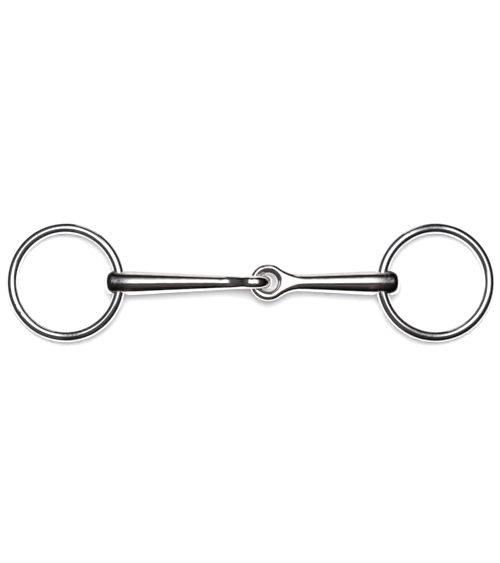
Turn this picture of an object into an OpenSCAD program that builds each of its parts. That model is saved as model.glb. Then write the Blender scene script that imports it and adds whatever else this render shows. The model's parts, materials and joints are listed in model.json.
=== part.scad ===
// Loose ring snaffle bit with a single joint in the middle of its mouthpiece.
// X runs from the left ring to the right ring and Z is up.
// The origin is on the axis of the mouthpiece, midway between the two rings.

/* [Mouthpiece] */
// Width of the mouthpiece between the wires of the two rings
mouth_width = 140; // [115:1:155]
// Thickness of each arm at its butt, beside the ring
butt_d = 14.4; // [13:0.1:16]
// How far the left butt reaches past the axis of its ring bore
left_butt_reach = 7.9; // [7.5:0.1:11]
// How far the right butt reaches past the axis of its ring bore
right_butt_reach = 9.9; // [7.5:0.1:11]

/* [Centre joint] */
// Outside diameter of the eye at the end of each arm
eye_d = 21.1; // [20.4:0.1:22]
// Diameter of the hole through each eye
eye_hole_d = 9.8; // [9.6:0.1:11.2]
// Thickness of each eye along the axis of its hole
eye_t = 7.2; // [6.4:0.1:7.6]
// Thickness of the left arm where it opens out into its eye
left_neck_d = 8.8; // [8:0.1:10]
// Thickness of the right arm where it opens out into its eye
right_neck_d = 9.7; // [8:0.1:10]
// Distance from the middle of the bit to the middle of the joint
joint_shift = 5.6; // [0:0.1:8]
// How far the two eyes are drawn apart from running through each other's centres
joint_pull = 0.65; // [0:0.05:1]

/* [Rings] */
// Outside diameter of each loose ring
ring_d = 67; // [55:1:80]
// Thickness of the ring wire
ring_wire_d = 6.3; // [5:0.1:6.6]
// Room left all round the wire where it runs through its bore
bore_gap = 0.35; // [0.2:0.05:0.5]

/* [Hidden] */
$fn = 96;

ring_steel = "silver";
arm_steel = "lightsteelblue";

// Radius of the rounded edges of an eye
eye_edge_r = 2.6;
// Radius of the hollow curve where an eye narrows into its arm
flare_r = 12;
// Number of straight steps that follow the hollow curve
flare_steps = 5;
// Thickness of the thin slices that the flare is stretched between
slice_t = 0.05;
// How far the flare's surface stays inside the eye and the arm that it joins
flare_inset = 0.06;
// How far the flare's end runs into the arm
flare_overlap = 0.4;
// Radius of the rounded corner round the end of a butt
butt_edge_r = 5.5;
// Length of full thickness on the arm's side of a ring bore
butt_land = 7;
// Radius of the rounded lip at each mouth of a ring bore
bore_lip_r = 1.6;
// How far a cutter passes the surface that it cuts
over = 1;

butt_r = butt_d / 2;
wire_r = ring_wire_d / 2;
ring_line_r = ring_d / 2 - wire_r;
// How far the curved wire strays to either side along a straight bore through the butt
wire_stray = (ring_line_r - sqrt(pow(ring_line_r, 2) - pow(butt_r, 2))) / 2;
bore_r = wire_r + wire_stray + bore_gap;
bore_x = mouth_width / 2 + wire_r + wire_stray;

eye_r = eye_d / 2;
eye_hole_r = eye_hole_d / 2;
eye_line_r = (eye_r + eye_hole_r) / 2;
// Each eye's wall runs through the hole of the other
left_eye_x = joint_shift - (eye_line_r + joint_pull) / 2;
right_eye_x = joint_shift + (eye_line_r + joint_pull) / 2;

// Each ring leans down until its far side is level with the bottom of the upright eye
ring_reach = 2 * ring_line_r - wire_stray;
ring_lean = asin((eye_r - wire_r) / ring_reach);

// Distance from the centre of an eye to the end of its hollow curve
function flare_end(neck_r) = sqrt(pow(eye_r + flare_r, 2) - pow(neck_r + flare_r, 2));
// Distance from the centre of an eye to the start of its hollow curve
function flare_start(neck_r) = flare_end(neck_r) * eye_r / (eye_r + flare_r);
// Half width of the hollow curve at a distance from the centre of its eye
function flare_half(neck_r, s) = neck_r + flare_r - sqrt(pow(flare_r, 2) - pow(flare_end(neck_r) - s, 2));

// Circles at the corners of a rectangle about the origin
module corner_circles(w, h, r) {
    for (sx = [-1, 1], sy = [-1, 1])
        translate([sx * (w / 2 - r), sy * (h / 2 - r)])
            circle(r = r);
}

// Rectangle about the origin with rounded corners
module rounded_section(w, h, r) {
    square([w - 2 * r, h], center = true);
    square([w, h - 2 * r], center = true);
    corner_circles(w, h, r);
}

// Eye ring about the Z axis
module eye() {
    rotate_extrude()
        translate([eye_line_r, 0])
            rounded_section(eye_r - eye_hole_r, eye_t, eye_edge_r);
}

// Corners of one slice of the flare; u runs from 0 at the eye to 1 at the arm
module flare_slice(neck_r, u) {
    s = flare_start(neck_r) + (flare_end(neck_r) - flare_start(neck_r)) * u;
    half_w = flare_half(neck_r, s) - flare_inset;
    half_h = eye_t / 2 + (neck_r - eye_t / 2) * u - flare_inset;
    edge_r = eye_edge_r + (neck_r - eye_edge_r) * u - flare_inset;
    translate([s - slice_t, 0, 0])
        rotate([90, 0, 90])
            linear_extrude(slice_t)
                corner_circles(2 * half_w, 2 * half_h, edge_r, $fn = 32);
}

// Metal that runs from the sides of the eye down to the round neck of the arm
module flare(neck_r) {
    for (i = [0:flare_steps - 1])
        hull() {
            flare_slice(neck_r, i / flare_steps);
            flare_slice(neck_r, (i + 1) / flare_steps);
        }
}

// Round arm that tapers from its butt to its neck, along X from the centre of the eye
module taper(neck_r, bore_s, reach) {
    neck_s = flare_end(neck_r) - flare_overlap;
    end_s = bore_s + reach;
    rotate([0, 90, 0])
        rotate_extrude() {
            polygon([
                [0, neck_s],
                [neck_r, neck_s],
                [butt_r, bore_s - butt_land],
                [butt_r, end_s - butt_edge_r],
                [butt_r - butt_edge_r, end_s],
                [0, end_s]
            ]);
            intersection() {
                translate([butt_r - butt_edge_r, end_s - butt_edge_r])
                    circle(r = butt_edge_r);
                translate([0, end_s - butt_edge_r])
                    square([butt_r, butt_edge_r]);
            }
        }
}

// Cutter for a ring bore about the Y axis, with rounded mouths
module bore_cutter() {
    rotate([90, 0, 0])
        rotate_extrude()
            difference() {
                translate([0, -butt_r - over])
                    square([bore_r + bore_lip_r, 2 * (butt_r + over)]);
                translate([bore_r + 2 * bore_lip_r, 0])
                    rounded_section(4 * bore_lip_r, 2 * butt_r, bore_lip_r);
            }
}

// Arm with its eye at the origin, its length along X and the hole of its eye along Z
module arm(neck_r, bore_s, reach) {
    eye();
    flare(neck_r);
    taper(neck_r, bore_s, reach);
}

module left_arm() {
    bore_s = bore_x + left_eye_x;
    color(arm_steel)
        difference() {
            translate([left_eye_x, 0, 0])
                rotate([90, 0, 180])
                    arm(left_neck_d / 2, bore_s, left_butt_reach);
            translate([-bore_x, 0, 0])
                bore_cutter();
        }
}

module right_arm() {
    bore_s = bore_x - right_eye_x;
    color(arm_steel)
        difference() {
            translate([right_eye_x, 0, 0])
                arm(right_neck_d / 2, bore_s, right_butt_reach);
            translate([bore_x, 0, 0])
                bore_cutter();
        }
}

// Loose ring on the right, hung in its bore and leaning down
module loose_ring() {
    translate([bore_x, 0, 0])
        rotate([0, ring_lean, 0])
            translate([ring_line_r - wire_stray, 0, 0])
                rotate_extrude()
                    translate([ring_line_r, 0])
                        circle(d = ring_wire_d);
}

module right_ring() {
    color(ring_steel)
        loose_ring();
}

module left_ring() {
    color(ring_steel)
        mirror([1, 0, 0])
            loose_ring();
}

left_ring();
left_arm();
right_arm();
right_ring();
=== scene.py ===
"""Looks of a single-jointed loose ring snaffle bit in polished steel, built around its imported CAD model.

Shapes are worked out in millimetres in each piece's own axes, then placed in the CAD's frame in metres.
"""
import json
import math

import bpy
import numpy as np
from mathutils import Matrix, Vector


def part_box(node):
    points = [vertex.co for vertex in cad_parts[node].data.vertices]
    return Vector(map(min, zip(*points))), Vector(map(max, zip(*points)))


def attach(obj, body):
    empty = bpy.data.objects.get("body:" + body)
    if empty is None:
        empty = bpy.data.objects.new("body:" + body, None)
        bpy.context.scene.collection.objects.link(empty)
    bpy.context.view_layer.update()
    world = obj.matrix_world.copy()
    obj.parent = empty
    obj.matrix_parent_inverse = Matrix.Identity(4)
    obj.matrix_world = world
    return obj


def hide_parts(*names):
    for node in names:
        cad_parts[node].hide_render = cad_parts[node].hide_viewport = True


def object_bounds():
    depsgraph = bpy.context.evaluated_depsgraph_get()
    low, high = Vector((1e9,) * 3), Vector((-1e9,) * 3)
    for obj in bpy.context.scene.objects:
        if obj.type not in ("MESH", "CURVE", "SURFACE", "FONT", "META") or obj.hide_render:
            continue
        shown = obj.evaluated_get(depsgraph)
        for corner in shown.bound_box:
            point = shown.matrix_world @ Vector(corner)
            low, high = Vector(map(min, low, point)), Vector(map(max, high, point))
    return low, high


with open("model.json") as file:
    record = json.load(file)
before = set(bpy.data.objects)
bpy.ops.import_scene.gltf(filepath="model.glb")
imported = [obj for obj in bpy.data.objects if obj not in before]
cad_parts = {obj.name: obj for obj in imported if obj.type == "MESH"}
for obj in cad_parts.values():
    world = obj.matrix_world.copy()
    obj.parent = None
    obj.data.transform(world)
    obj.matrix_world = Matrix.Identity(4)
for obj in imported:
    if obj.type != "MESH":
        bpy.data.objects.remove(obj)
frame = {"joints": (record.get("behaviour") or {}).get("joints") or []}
cad_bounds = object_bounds()

MM = 0.001
JOINTS = {j["name"]: j for j in frame["joints"]}

# Sizes of the forging and the wire that the boxes and joints of the CAD don't give, in mm.
WIRE_R = 3.15
BORE_R = 3.93
BORE_LIP_R = 1.3
BUTT_R = 7.2
BUTT_DOME = 7.0
EYE_HOLE_R = 4.9
EYE_HALF_T = 3.6
EYE_LIP_R = 2.3
EYE_SINK_R = 8.0
EYE_SINK_SLOPE = 0.20

# Unevenness left by hand polishing: height and wavelength of each layer of waves, in mm.
ARM_WAVES = ((0.022, 15.0), (0.006, 4.0))
WIRE_WAVES = ((0.012, 11.0), (0.003, 3.0))

ARM_STEP, QUICK_ARM_STEP = 0.42, 0.8

# Points round a ring and round its wire.
RING_STEPS = 420
WIRE_STEPS = 48

# The camera looks straight down through a long lens. Metres.
CAMERA_PLACE = (-0.0004, 0.0004, 6.0)
VIEW_WIDTH = 0.2794
SENSOR_WIDTH = 36.0

# The panels that the steel mirrors: height of the softbox, and place and top of the two upright ones. Metres.
SOFTBOX_Z, SOFTBOX_HALF_X, SOFTBOX_HALF_Y = 0.35, 0.5, 0.8
CARD_Y, CARD_HALF_X, CARD_TOP = 0.35, 0.10, 0.11
CLUTTER_Y, CLUTTER_HALF_X, CLUTTER_TOP = -0.30, 0.30, 0.60

WHITE = (1.0, 1.0, 1.0, 1)


def rounded_and(a, b, r):
    """Distance to where two fields meet, with an edge of radius r between them."""
    u, v = a + r, b + r
    return np.minimum(np.maximum(u, v), 0) + np.hypot(np.maximum(u, 0), np.maximum(v, 0)) - r


def smooth_step(x, x0, x1):
    """0 below x0, 1 above x1, eased between."""
    t = np.clip((x - x0) / (x1 - x0), 0, 1)
    return t * t * (3 - 2 * t)


def soft_ramp(x, x0, x1, width):
    """0 below x0, 1 above x1, straight between, with the corners eased over width."""
    def eased(t):
        return 0.5 * (t + np.sqrt(t * t + width * width))
    return (eased(x - x0) - eased(x - x1)) / (x1 - x0)


def hand_waviness(p, seed, waves):
    """Slight unevenness of a hand-polished surface, layer by layer."""
    crossing_waves = 9
    height = np.zeros(len(p))
    for layer, (amplitude, wavelength) in enumerate(waves):
        rng = np.random.default_rng(seed + layer)
        total = np.zeros(len(p))
        for _ in range(crossing_waves):
            direction = rng.normal(size=3)
            direction /= np.linalg.norm(direction)
            length = wavelength * rng.uniform(0.7, 1.6)
            total += np.sin(p @ direction * 2 * math.pi / length + rng.uniform(0, 2 * math.pi))
        height += amplitude * total / math.sqrt(crossing_waves)
    return height


class ArmShape:
    """One half of the mouthpiece, in mm: eye at the origin, length along x, hole of the eye along z."""

    def __init__(self, edge_r, flare_r, neck_w, neck_h, bore_s, end_s, bore_along_z, seed):
        self.edge_r = edge_r
        self.flare_r = flare_r
        self.neck_w = neck_w
        self.neck_h = neck_h
        self.bore_s = bore_s
        self.end_s = end_s
        self.bore_along_z = bore_along_z
        self.seed = seed
        self.flare_end = math.sqrt((EYE_R + flare_r) ** 2 - (neck_w + flare_r) ** 2)

    def box(self):
        margin = 1.0
        lo = np.array([-EYE_R, -EYE_R, -BUTT_R]) - margin
        hi = np.array([self.end_s, EYE_R, BUTT_R]) + margin
        return lo, hi

    def outline(self, x, y, half_w):
        """Distance to the outline seen along the hole of the eye: eye, hollow flare, then tapered arm."""
        y = np.abs(y)
        cx, cy = self.flare_end, self.neck_w + self.flare_r
        eye = np.hypot(x, y) - EYE_R
        flare = self.flare_r - np.hypot(x - cx, y - cy)
        out = np.where(np.arctan2(y, x) > math.atan2(cy, cx), eye, flare)
        return np.where(x > cx, y - half_w, out)

    def half_sizes(self, x):
        """Half width, half height and edge radius of the section at x."""
        taper = soft_ramp(x, self.flare_end + 1.5, self.bore_s - 6, 5.0)
        half_w = self.neck_w + (BUTT_R - self.neck_w) * taper
        half_h = self.neck_h + (BUTT_R - self.neck_h) * taper
        half_h = EYE_HALF_T + (half_h - EYE_HALF_T) * smooth_step(x, 1.0, self.flare_end + 6)
        round_r = np.minimum(half_w, half_h)
        edge = self.edge_r + (round_r - self.edge_r) * smooth_step(x, 3.0, self.flare_end + 3)
        return half_w, half_h, edge

    def cut_eye_hole(self, body, x, y, z, half_h):
        """Hole with a rounded lip, in a face that is dished towards it."""
        from_centre = np.hypot(x, y)
        sunk = EYE_SINK_SLOPE * np.maximum(EYE_SINK_R - from_centre, 0)
        hole = rounded_and(EYE_HOLE_R - from_centre, np.abs(z) - half_h + sunk, EYE_LIP_R)
        return np.where(x < self.flare_end, np.maximum(body, hole), body)

    def dome_butt(self, body, x):
        """Closes the end of the butt with a blunt dome."""
        power = 3.1
        start = self.end_s - BUTT_DOME
        past = np.maximum(x - start, 0) / (self.end_s - start)
        across = np.maximum(body + BUTT_R, 0) / BUTT_R
        domed = ((across ** power + past ** power) ** (1 / power) - 1) * BUTT_R
        return np.where(x > start, domed, body)

    def field(self, p):
        """Distance of points p from the surface, negative inside."""
        x, y, z = p.T
        half_w, half_h, edge = self.half_sizes(x)
        body = rounded_and(self.outline(x, y, half_w), np.abs(z) - half_h, edge)
        body = self.cut_eye_hole(body, x, y, z, half_h)
        body = self.dome_butt(body, x) + hand_waviness(p, self.seed, ARM_WAVES)
        across_bore = y if self.bore_along_z else z
        return rounded_and(body, BORE_R - np.hypot(x - self.bore_s, across_bore), BORE_LIP_R)


def gradient(field, p, step=0.01):
    """Slope of a field at points p."""
    columns = []
    for axis in range(3):
        shift = np.zeros(3)
        shift[axis] = step
        columns.append((field(p + shift) - field(p - shift)) / (2 * step))
    return np.stack(columns, 1)


def onto_surface(field, p, rounds):
    """Points p moved along the slope of the field until they lie on its surface."""
    for _ in range(rounds):
        g = gradient(field, p)
        p = p - g * (field(p) / np.maximum((g * g).sum(1), 1e-6))[:, None]
    return p


def surface_net(field, lo, hi, step):
    """Quads on the zero surface of a field, one point in each grid cell that the surface crosses."""
    counts = np.ceil((hi - lo) / step).astype(int) + 1
    axes = [lo[i] + step * np.arange(counts[i]) for i in range(3)]
    grid = np.stack(np.meshgrid(*axes, indexing="ij"), -1)
    value = field(grid.reshape(-1, 3)).reshape(counts)
    inside = value < 0
    cells = counts - 1
    corner_sum = np.zeros(cells)
    point_sum = np.zeros((*cells, 3))
    quads = []
    for axis in range(3):
        low = [slice(None)] * 3
        high = [slice(None)] * 3
        low[axis], high[axis] = slice(None, -1), slice(1, None)
        v0, v1 = value[tuple(low)], value[tuple(high)]
        crossing = inside[tuple(low)] != inside[tuple(high)]
        edges = np.argwhere(crossing)
        t = v0[crossing] / (v0[crossing] - v1[crossing])
        points = lo + step * edges.astype(float)
        points[:, axis] += step * t
        b, c = (axis + 1) % 3, (axis + 2) % 3
        around = []
        for db, dc in ((0, 0), (1, 0), (1, 1), (0, 1)):
            cell = edges.copy()
            cell[:, b] -= db
            cell[:, c] -= dc
            around.append(cell)
            index = tuple(cell.T)
            np.add.at(corner_sum, index, 1)
            np.add.at(point_sum, index, points)
        ids = np.stack([np.ravel_multi_index(tuple(cell.T), cells) for cell in around], 1)
        flip = ~inside[tuple(low)][crossing]
        ids[flip] = ids[flip][:, ::-1]
        quads.append(ids)
    used = np.flatnonzero(corner_sum.ravel())
    number = np.full(corner_sum.size, -1)
    number[used] = np.arange(len(used))
    points = point_sum.reshape(-1, 3)[used] / corner_sum.ravel()[used][:, None]
    return points, number[np.concatenate(quads)]


def relax(field, points, quads, rounds):
    """Evens out the quads along the surface, then puts the points back on it."""
    stay = 0.4
    pairs = np.concatenate([quads[:, [i, (i + 1) % 4]] for i in range(4)])
    for _ in range(rounds):
        total = np.zeros_like(points)
        count = np.zeros(len(points))
        for a, b in ((0, 1), (1, 0)):
            np.add.at(total, pairs[:, a], points[pairs[:, b]])
            np.add.at(count, pairs[:, a], 1)
        points = stay * points + (1 - stay) * total / count[:, None]
        points = onto_surface(field, points, 2)
    return points


def make_piece(name, points_mm, faces, normals, material, node):
    """Smooth mesh that rides on the body of a CAD node and stands for it."""
    mesh = bpy.data.meshes.new(name)
    mesh.from_pydata((points_mm * MM).tolist(), [], faces.tolist())
    mesh.polygons.foreach_set("use_smooth", [True] * len(mesh.polygons))
    mesh.update()
    if normals is not None:
        mesh.normals_split_custom_set_from_vertices(normals.tolist())
    mesh.materials.append(material)
    piece = bpy.data.objects.new(name, mesh)
    bpy.context.scene.collection.objects.link(piece)
    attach(piece, node)
    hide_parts(node)


def build_arm(name, shape, to_model, material):
    step = ARM_STEP
    points, quads = surface_net(shape.field, *shape.box(), step)
    points = onto_surface(shape.field, points, 3)
    points = relax(shape.field, points, quads, 3)
    normals = gradient(shape.field, points, 0.02)
    normals /= np.linalg.norm(normals, axis=1)[:, None]
    points, normals = to_model(points), to_model(normals, direction=True)
    make_piece(name + "_forging", points, quads, normals, material, name)


def weld_bead(from_weld):
    """Height of a dressed weld: a low bead between two faint grooves."""
    return 0.05 * np.exp(-(from_weld / 1.8) ** 2) - 0.04 * np.exp(-((from_weld - 2.6) / 0.5) ** 2)


def build_ring(name, side, material, weld_deg, seed):
    """Ring of bent wire, leaning down from its bore, with a dressed weld at weld_deg."""
    lo, hi = (np.array(corner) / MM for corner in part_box(name))
    pivot_x = JOINTS[name + "_swing"]["pos_m"][0] / MM
    line_r = (hi[1] - lo[1]) / 2 - WIRE_R
    stray = (line_r - math.sqrt(line_r ** 2 - BUTT_R ** 2)) / 2
    lean = math.asin((-lo[2] - WIRE_R) / (2 * line_r - stray))
    t = np.repeat(np.arange(RING_STEPS) * 2 * math.pi / RING_STEPS, WIRE_STEPS)
    s = np.tile(np.arange(WIRE_STEPS) * 2 * math.pi / WIRE_STEPS, RING_STEPS)
    from_weld = line_r * np.abs((t - math.radians(weld_deg) + math.pi) % (2 * math.pi) - math.pi)
    centre = np.stack([line_r * np.cos(t), line_r * np.sin(t), 0 * t], 1)
    outward = np.stack([np.cos(t) * np.cos(s), np.sin(t) * np.cos(s), np.sin(s)], 1)
    wave = hand_waviness(centre + WIRE_R * outward, seed, WIRE_WAVES)
    room_for_bumps = 0.02
    wire_r = WIRE_R + wave + weld_bead(from_weld) - room_for_bumps
    points = centre + outward * wire_r[:, None]
    x, z = side * (points[:, 0] + line_r - stray), points[:, 2].copy()
    points[:, 0] = pivot_x + x * math.cos(lean) + side * z * math.sin(lean)
    points[:, 2] = z * math.cos(lean) - side * x * math.sin(lean)
    i = np.arange(RING_STEPS * WIRE_STEPS)
    ring, step = i // WIRE_STEPS * WIRE_STEPS, i % WIRE_STEPS
    next_ring, next_step = (ring + WIRE_STEPS) % len(i), (step + 1) % WIRE_STEPS
    quads = np.stack([i, next_ring + step, next_ring + next_step, ring + next_step], 1)
    if side < 0:
        quads = quads[:, ::-1]
    make_piece(name + "_wire", points, quads, None, material, name)


class Nodes:
    """Short way to build a node tree."""

    def __init__(self, tree):
        self.tree = tree
        tree.nodes.clear()

    def add(self, kind, inputs=None, **settings):
        node = self.tree.nodes.new(kind)
        for key, value in settings.items():
            setattr(node, key, value)
        for key, value in (inputs or {}).items():
            if isinstance(value, bpy.types.NodeSocket):
                self.tree.links.new(value, node.inputs[key])
            else:
                node.inputs[key].default_value = value
        return node

    def math(self, operation, a, b=0.0, clamp=False):
        return self.add("ShaderNodeMath", {0: a, 1: b}, operation=operation, use_clamp=clamp).outputs[0]

    def product(self, first, *others):
        for other in others:
            first = self.math("MULTIPLY", first, other)
        return first

    def total(self, first, *others):
        for other in others:
            first = self.math("ADD", first, other)
        return first

    def less(self, a, b):
        return self.math("SUBTRACT", a, b)

    def size(self, a):
        return self.math("ABSOLUTE", a)

    def ramp(self, value, from_min, from_max, to_min=0.0, to_max=1.0):
        """Eases from to_min to to_max as value goes from from_min to from_max."""
        limits = {"From Min": from_min, "From Max": from_max, "To Min": to_min, "To Max": to_max}
        node = self.add("ShaderNodeMapRange", {"Value": value, **limits}, interpolation_type="SMOOTHSTEP")
        return node.outputs[0]

    def mix(self, factor, a, b):
        return self.add("ShaderNodeMix", {0: factor, 2: a, 3: b}, data_type="FLOAT").outputs[0]

    def mix_colour(self, factor, a, b):
        return self.add("ShaderNodeMix", {0: factor, 6: a, 7: b}, data_type="RGBA").outputs[2]

    def noise(self, place, scale, detail, roughness=0.5):
        inputs = {"Vector": place, "Scale": scale, "Detail": detail, "Roughness": roughness}
        return self.add("ShaderNodeTexNoise", inputs).outputs["Fac"]

    def stretch(self, place, scale):
        return self.add("ShaderNodeMapping", {"Vector": place, "Scale": scale}).outputs[0]

    def xyz(self, vector):
        split = self.add("ShaderNodeSeparateXYZ", {0: vector})
        return [split.outputs[axis] for axis in "XYZ"]

    def glow(self, colour, strength):
        return self.add("ShaderNodeEmission", {"Color": colour, "Strength": strength}).outputs[0]

    def surface(self, shader):
        self.add("ShaderNodeOutputMaterial", {"Surface": shader})


def new_material(name):
    material = bpy.data.materials.new(name)
    material.use_nodes = True
    return material, Nodes(material.node_tree)


def seen_in_steel(n):
    """1 for what the camera sees mirrored in the metal, 0 for the light that falls on the floor."""
    path = n.add("ShaderNodeLightPath")
    direct = n.less(1.0, n.math("MINIMUM", path.outputs["Diffuse Depth"], 1.0))
    return n.product(path.outputs["Is Glossy Ray"], direct)


def camera_above(n):
    """1 for a camera that looks straight down, 0 for one that looks from the side."""
    from_side, from_above = 0.85, 0.98
    up = n.add(
        "ShaderNodeVectorTransform", {0: (0.0, 0.0, 1.0)},
        vector_type="VECTOR", convert_from="WORLD", convert_to="CAMERA",
    )
    sine_of_elevation = n.size(n.xyz(up.outputs[0])[2])
    return n.ramp(sine_of_elevation, from_side, from_above)


def worn_and_shaded_places(n, place, wear_and_shade_points):
    """1 on the upper side of the metal near the given points, fading to 0 away from them: places dulled by
    wear, whose upper side also gets painted shade.
    """
    wear_and_shade = None
    for point, inner, outer in wear_and_shade_points:
        gap = n.add("ShaderNodeVectorMath", {0: place, 1: point}, operation="DISTANCE").outputs["Value"]
        here = n.ramp(gap, outer * MM, inner * MM)
        wear_and_shade = here if wear_and_shade is None else n.math("MAXIMUM", wear_and_shade, here)
    facing_up = n.xyz(n.add("ShaderNodeTexCoord").outputs["Normal"])[2]
    return n.product(wear_and_shade, n.ramp(facing_up, 0.50, 0.80))


def polished_steel(name, tint, wear_and_shade_points, wear_and_shade_depth, line_scale):
    """Polished steel: fine polishing lines, cloudy haze, small pits, and at the given points worn places,
    rougher and dull, whose upper side is darkened with painted shade to dim the highlight that it mirrors.
    """
    material, n = new_material(name)
    place = n.add("ShaderNodeTexCoord").outputs["Object"]
    haze = n.noise(place, 260.0, 4.0, 0.6)
    lines = n.noise(n.stretch(place, line_scale), 1.0, 3.0, 0.7)
    mottle = n.noise(place, 900.0, 5.0, 0.65)
    pits = n.ramp(n.noise(place, 2600.0, 2.0), 0.68, 0.76)
    wear_and_shade = worn_and_shaded_places(n, place, wear_and_shade_points)
    # Painted shade: near the points the upper side is darkened towards near black, which dims the highlight
    # it mirrors; the added roughness and bumps there are wear.
    worn_and_shaded = n.product(wear_and_shade, n.ramp(mottle, 0.35, 0.65, 0.70 * wear_and_shade_depth, wear_and_shade_depth))

    clean, hazy = (*tint, 1), (*(0.93 * c for c in tint), 1)
    # The first colour is the near-black painted shade of the worn places; the second is the dark of the pits.
    wear_and_shade_colour, pit_colour = (0.075, 0.075, 0.09, 1), (0.2, 0.19, 0.18, 1)
    colour = n.mix_colour(n.ramp(haze, 0.3, 0.75), clean, hazy)
    colour = n.mix_colour(worn_and_shaded, colour, wear_and_shade_colour)
    colour = n.mix_colour(n.product(pits, 0.5), colour, pit_colour)

    rough = n.total(
        n.ramp(haze, 0.3, 0.75, 0.045, 0.11),
        n.product(n.ramp(lines, 0.4, 0.8), 0.05), n.product(worn_and_shaded, 0.08), n.product(pits, 0.15),
    )

    height = n.total(n.product(lines, 0.5), n.product(mottle, 0.35))
    height = n.less(height, n.product(pits, 0.6))
    strength = n.total(0.35, n.product(wear_and_shade, 0.65))
    depth = n.total(0.01 * MM, n.product(wear_and_shade, 0.14 * MM))
    bump = n.add("ShaderNodeBump", {"Height": height, "Strength": strength, "Distance": depth})

    looks = {"Base Color": colour, "Metallic": 1.0, "Roughness": rough, "Normal": bump.outputs[0]}
    n.surface(n.add("ShaderNodeBsdfPrincipled", looks).outputs[0])
    return material


def floor_in_steel(n, place, back_to_eye):
    """How bright the steel sees the floor: white in front and near by, paler behind, dark far in front."""
    x, y, _ = n.xyz(place)
    ray_x, ray_y, ray_z = n.xyz(back_to_eye)
    white = 1.35
    beside = n.ramp(n.size(x), 0.070, 0.085)
    behind = n.mix(beside, n.ramp(ray_z, 0.15, 0.85, 0.82, 1.30), n.ramp(ray_z, 0.10, 0.40, 0.20, 1.30))
    strength = n.mix(n.ramp(ray_y, -0.25, 0.0), behind, white)
    outward = n.product(n.math("SIGN", x), n.product(ray_x, -1.0))
    outside = n.product(beside, n.ramp(outward, 0.30, 0.60))
    strength = n.mix(outside, strength, n.ramp(ray_z, 0.15, 0.50, 0.06, white))
    front_line = n.less(y, n.product(x, 0.30))
    strength = n.product(strength, n.ramp(front_line, -0.125, -0.070, 0.01, 1.0))
    from_the_side = n.ramp(ray_z, 0.0, 0.6, 0.35, 0.68)
    return n.mix(camera_above(n), from_the_side, strength)


def paper_floor():
    """Pale paper, with a brightness of its own for the reflections in the steel."""
    material, n = new_material("pale_floor")
    geometry = n.add("ShaderNodeNewGeometry").outputs
    place = geometry["Position"]
    fibre = n.noise(place, 900.0, 3.0)
    white = n.mix_colour(fibre, (0.90, 0.90, 0.905, 1), (0.93, 0.93, 0.93, 1))
    paper = n.add("ShaderNodeBsdfDiffuse", {"Color": white}).outputs[0]
    seen = n.glow((1.0, 0.97, 0.975, 1), floor_in_steel(n, place, geometry["Incoming"]))
    n.surface(n.add("ShaderNodeMixShader", {0: seen_in_steel(n), 1: paper, 2: seen}).outputs[0])
    return material


def follow_lowest(floor, level):
    """Keeps the floor a wire's radius under the lowest rim, so that no ring swings down through it."""
    lowest = floor.driver_add("location", 2).driver
    lowest.type = "MIN"
    far_x = cad_bounds[1][0] - WIRE_R * MM
    for body, x in (("left_arm", 0.0), ("left_ring", -far_x), ("right_ring", far_x)):
        marker = bpy.data.objects.new("low_point_" + body, None)
        marker.location = (x, 0.0, level + WIRE_R * MM)
        bpy.context.scene.collection.objects.link(marker)
        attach(marker, body)
        height = lowest.variables.new()
        height.name = body
        height.type = "TRANSFORMS"
        height.targets[0].id = marker
        height.targets[0].transform_type = "LOC_Z"
        height.targets[0].transform_space = "WORLD_SPACE"


def add_stage_mesh(name, points, faces, material):
    mesh = bpy.data.meshes.new(name)
    mesh.from_pydata(points, [], faces)
    mesh.materials.append(material)
    thing = bpy.data.objects.new(name, mesh)
    bpy.context.scene.collection.objects.link(thing)
    return thing


def build_floor(level):
    """Wide sheet of paper, a wire's radius below the lowest of the points that it follows."""
    half, cells = 3.0, 12
    axis = np.linspace(-half, half, cells + 1)
    points = [(x, y, -WIRE_R * MM) for x in axis for y in axis]
    row = cells + 1
    corners = (0, row, row + 1, 1)
    faces = [[i * row + j + corner for corner in corners] for i in range(cells) for j in range(cells)]
    follow_lowest(add_stage_mesh("floor", points, faces, paper_floor()), level)


def build_world():
    """A dim room, as polished metal sees it; an even white for the rest."""
    world = bpy.data.worlds.new("studio")
    bpy.context.scene.world = world
    world.use_nodes = True
    n = Nodes(world.node_tree)
    direction = n.add("ShaderNodeTexCoord").outputs["Generated"]
    x, y, z = n.xyz(direction)
    clutter = n.noise(direction, 5.0, 4.0, 0.6)
    above = camera_above(n)

    darkest = 0.002
    dim = n.less(n.product(z, z, 0.105), 0.008)
    left_glimmer = n.product(n.ramp(x, -0.15, -0.45), n.ramp(z, 0.1, 0.5, 0.0, 0.045))
    dim = n.total(n.math("MAXIMUM", dim, darkest), left_glimmer)
    dim = n.product(dim, n.ramp(clutter, 0.3, 0.7, 0.4, 1.6))
    shade = n.mix_colour(n.ramp(y, -0.15, 0.15), (1.0, 0.86, 0.85, 1), (1.0, 0.97, 1.04, 1))

    plain_room = n.total(n.product(n.math("POWER", n.math("MAXIMUM", z, 0.0), 1.7), 0.75), 0.03)
    plain_room = n.product(plain_room, n.ramp(clutter, 0.3, 0.7, 0.75, 1.25))
    colour, strength = n.mix_colour(above, WHITE, shade), n.mix(above, plain_room, dim)
    seen = n.add("ShaderNodeBackground", {"Color": colour, "Strength": strength}).outputs[0]

    fill_light, backdrop_white = 0.30, 1.05
    level = n.mix(n.add("ShaderNodeLightPath").outputs["Is Camera Ray"], fill_light, backdrop_white)
    even = n.add("ShaderNodeBackground", {"Color": (0.96, 0.95, 1.0, 1), "Strength": level}).outputs[0]
    mixed = n.add("ShaderNodeMixShader", {0: seen_in_steel(n), 1: even, 2: seen})
    n.add("ShaderNodeOutputWorld", {"Surface": mixed.outputs[0]})


def add_clear_glow(n, colour, strength):
    """A panel's light, added to what shows through it."""
    clear = n.add("ShaderNodeBsdfTransparent").outputs[0]
    n.surface(n.add("ShaderNodeAddShader", {0: n.glow(colour, strength), 1: clear}).outputs[0])


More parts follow.
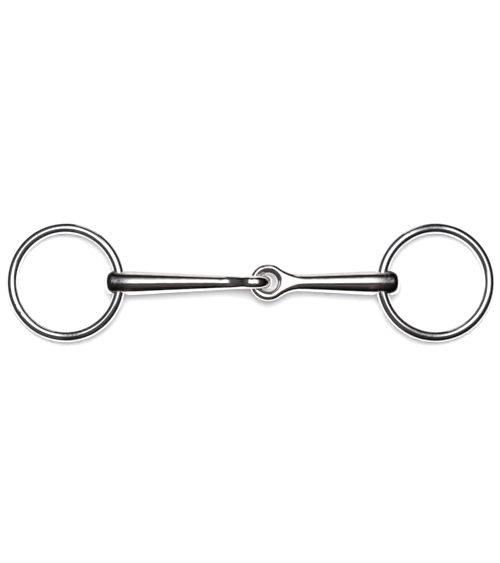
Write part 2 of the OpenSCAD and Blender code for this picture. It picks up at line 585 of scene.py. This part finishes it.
def softbox_glow():
    """Bright panel whose two long edges bend a little and whose far edge fades softly."""
    material, n = new_material("softbox_glow")
    geometry = n.add("ShaderNodeNewGeometry").outputs
    x, y, _ = n.xyz(geometry["Position"])
    ray_x, _, ray_z = n.xyz(geometry["Incoming"])
    bend = n.math("SINE", n.product(x, 28.6))
    ragged = n.less(n.noise(geometry["Position"], 75.0, 5.0), 0.5)
    near_line = n.less(n.less(y, n.product(bend, 0.015)), n.product(ragged, 0.06))
    far_line = n.less(y, n.product(bend, 0.055))
    sideways = n.math("DIVIDE", ray_x, ray_z)
    ends = n.product(n.ramp(sideways, -0.66, -0.42), n.ramp(sideways, 0.80, 0.33))
    edges = n.product(n.ramp(near_line, -0.050, -0.015), n.ramp(far_line, 0.37, 0.09))
    add_clear_glow(n, WHITE, n.product(edges, n.mix(camera_above(n), 1.0, ends), 1.4))
    return material


def card_glow():
    """Pale card with soft side and top edges."""
    material, n = new_material("card_glow")
    x, _, z = n.xyz(n.add("ShaderNodeNewGeometry").outputs["Position"])
    edges = n.product(n.ramp(n.size(x), 0.095, 0.075), n.ramp(z, 0.108, 0.080))
    add_clear_glow(n, (1.0, 0.97, 0.98, 1), n.product(edges, camera_above(n), 0.86))
    return material


def clutter_glow():
    """Faint brown shapes in the dark of the room, which mottle the shaded side of the arms."""
    material, n = new_material("clutter_glow")
    place = n.add("ShaderNodeNewGeometry").outputs["Position"]
    x, _, z = n.xyz(place)
    shapes = n.noise(n.stretch(place, (22.0, 1.0, 60.0)), 1.0, 6.0, 0.7)
    dim = n.product(n.ramp(shapes, 0.50, 0.62, 0.0, 0.070), n.ramp(z, 0.04, 0.22))
    left = n.product(n.ramp(n.size(n.total(x, 0.066)), 0.018, 0.006), n.ramp(z, 0.20, 0.08))
    right = n.product(n.ramp(n.size(n.less(x, 0.052)), 0.014, 0.004), n.ramp(z, 0.10, 0.22))
    ruddy = n.product(n.total(left, right), n.ramp(shapes, 0.30, 0.60, 0.020, 0.090))
    redness = n.math("MULTIPLY", ruddy, 25.0, clamp=True)
    colour = n.mix_colour(redness, (1.0, 0.86, 0.84, 1), (1.0, 0.52, 0.46, 1))
    between_rings = n.ramp(n.size(x), 0.095, 0.078)
    add_clear_glow(n, colour, n.product(n.total(dim, ruddy), between_rings))
    return material


def add_reflector(name, points, material):
    """A flat panel that only the polished metal sees."""
    panel = add_stage_mesh(name, points, [(0, 1, 2, 3)], material)
    panel.visible_camera = False
    panel.visible_diffuse = False
    panel.visible_shadow = False


def upright(y, half_x, low, top):
    return [(-half_x, y, low), (half_x, y, low), (half_x, y, top), (-half_x, y, top)]


def build_reflectors(level):
    """The wide light close above, a low pale card behind the mouthpiece, and clutter in the dark in front."""
    x, y, z = SOFTBOX_HALF_X, SOFTBOX_HALF_Y, SOFTBOX_Z
    add_reflector("softbox", [(-x, -y, z), (x, -y, z), (x, y, z), (-x, y, z)], softbox_glow())
    add_reflector("card", upright(CARD_Y, CARD_HALF_X, level, CARD_TOP), card_glow())
    add_reflector("clutter", upright(CLUTTER_Y, CLUTTER_HALF_X, level, CLUTTER_TOP), clutter_glow())


def build_key_light():
    """The same light for the floor: nearly overhead, and soft."""
    light = bpy.data.lights.new("key", "SUN")
    light.energy = 3.3
    light.angle = math.radians(33.0)
    key = bpy.data.objects.new("key", light)
    key.rotation_euler = (math.radians(-13.0), 0, 0)
    key.visible_camera = False
    key.visible_glossy = False
    bpy.context.scene.collection.objects.link(key)


def build_camera():
    """Straight down from above, with a long lens."""
    lens = bpy.data.cameras.new("camera")
    lens.sensor_fit = "HORIZONTAL"
    lens.sensor_width = SENSOR_WIDTH
    lens.lens = SENSOR_WIDTH * CAMERA_PLACE[2] / VIEW_WIDTH
    lens.clip_end = 20.0
    camera = bpy.data.objects.new("camera", lens)
    camera.location = CAMERA_PLACE
    bpy.context.scene.collection.objects.link(camera)
    bpy.context.scene.camera = camera


EYE_R = -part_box("left_arm")[0].z / MM
left_eye_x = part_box("left_arm")[1].x / MM - EYE_R
right_eye_x = JOINTS["centre_joint"]["pos_m"][0] / MM
bore_x = JOINTS["right_ring_swing"]["pos_m"][0] / MM
left_end = -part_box("left_arm")[0].x / MM
right_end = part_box("right_arm")[1].x / MM

left_shape = ArmShape(
    edge_r=3.1, flare_r=23.0, neck_w=4.55, neck_h=4.3,
    bore_s=bore_x + left_eye_x, end_s=left_end + left_eye_x, bore_along_z=True, seed=11,
)
right_shape = ArmShape(
    edge_r=2.5, flare_r=20.0, neck_w=4.85, neck_h=4.55,
    bore_s=bore_x - right_eye_x, end_s=right_end - right_eye_x, bore_along_z=False, seed=23,
)


def left_to_model(p, direction=False):
    out = np.stack([-p[:, 0], p[:, 2], p[:, 1]], 1)
    return out if direction else out + [left_eye_x, 0, 0]


def right_to_model(p, direction=False):
    return p if direction else p + [right_eye_x, 0, 0]


# A point is a place in metres, and the radii in mm where the wear and its painted shade start to fade and
# end.
arm_steel = polished_steel(
    "polished_forging", (0.875, 0.848, 0.845),
    wear_and_shade_points=[((-0.0800, 0, 0.006), 6.0, 14.5), ((0.0830, 0, 0.006), 6.0, 17.0)],
    wear_and_shade_depth=1.0, line_scale=(60.0, 2200.0, 2200.0),
)
ring_steel = polished_steel(
    "polished_wire", (0.86, 0.865, 0.88),
    wear_and_shade_points=[
        ((0.1010, 0.0298, 0.0), 3.0, 13.0),
        ((0.0960, -0.0290, 0.0), 4.0, 17.0),
        ((-0.1000, -0.0298, 0.0), 2.0, 9.0),
    ],
    wear_and_shade_depth=0.7, line_scale=(900.0, 900.0, 900.0),
)
build_arm("left_arm", left_shape, left_to_model, arm_steel)
build_arm("right_arm", right_shape, right_to_model, arm_steel)
build_ring("left_ring", -1, ring_steel, weld_deg=-30.0, seed=5)
build_ring("right_ring", 1, ring_steel, weld_deg=122.0, seed=7)
floor_level = cad_bounds[0][2]
build_floor(floor_level)
build_world()
build_reflectors(floor_level)
build_key_light()
build_camera()
bpy.context.scene.view_settings.view_transform = "Standard"
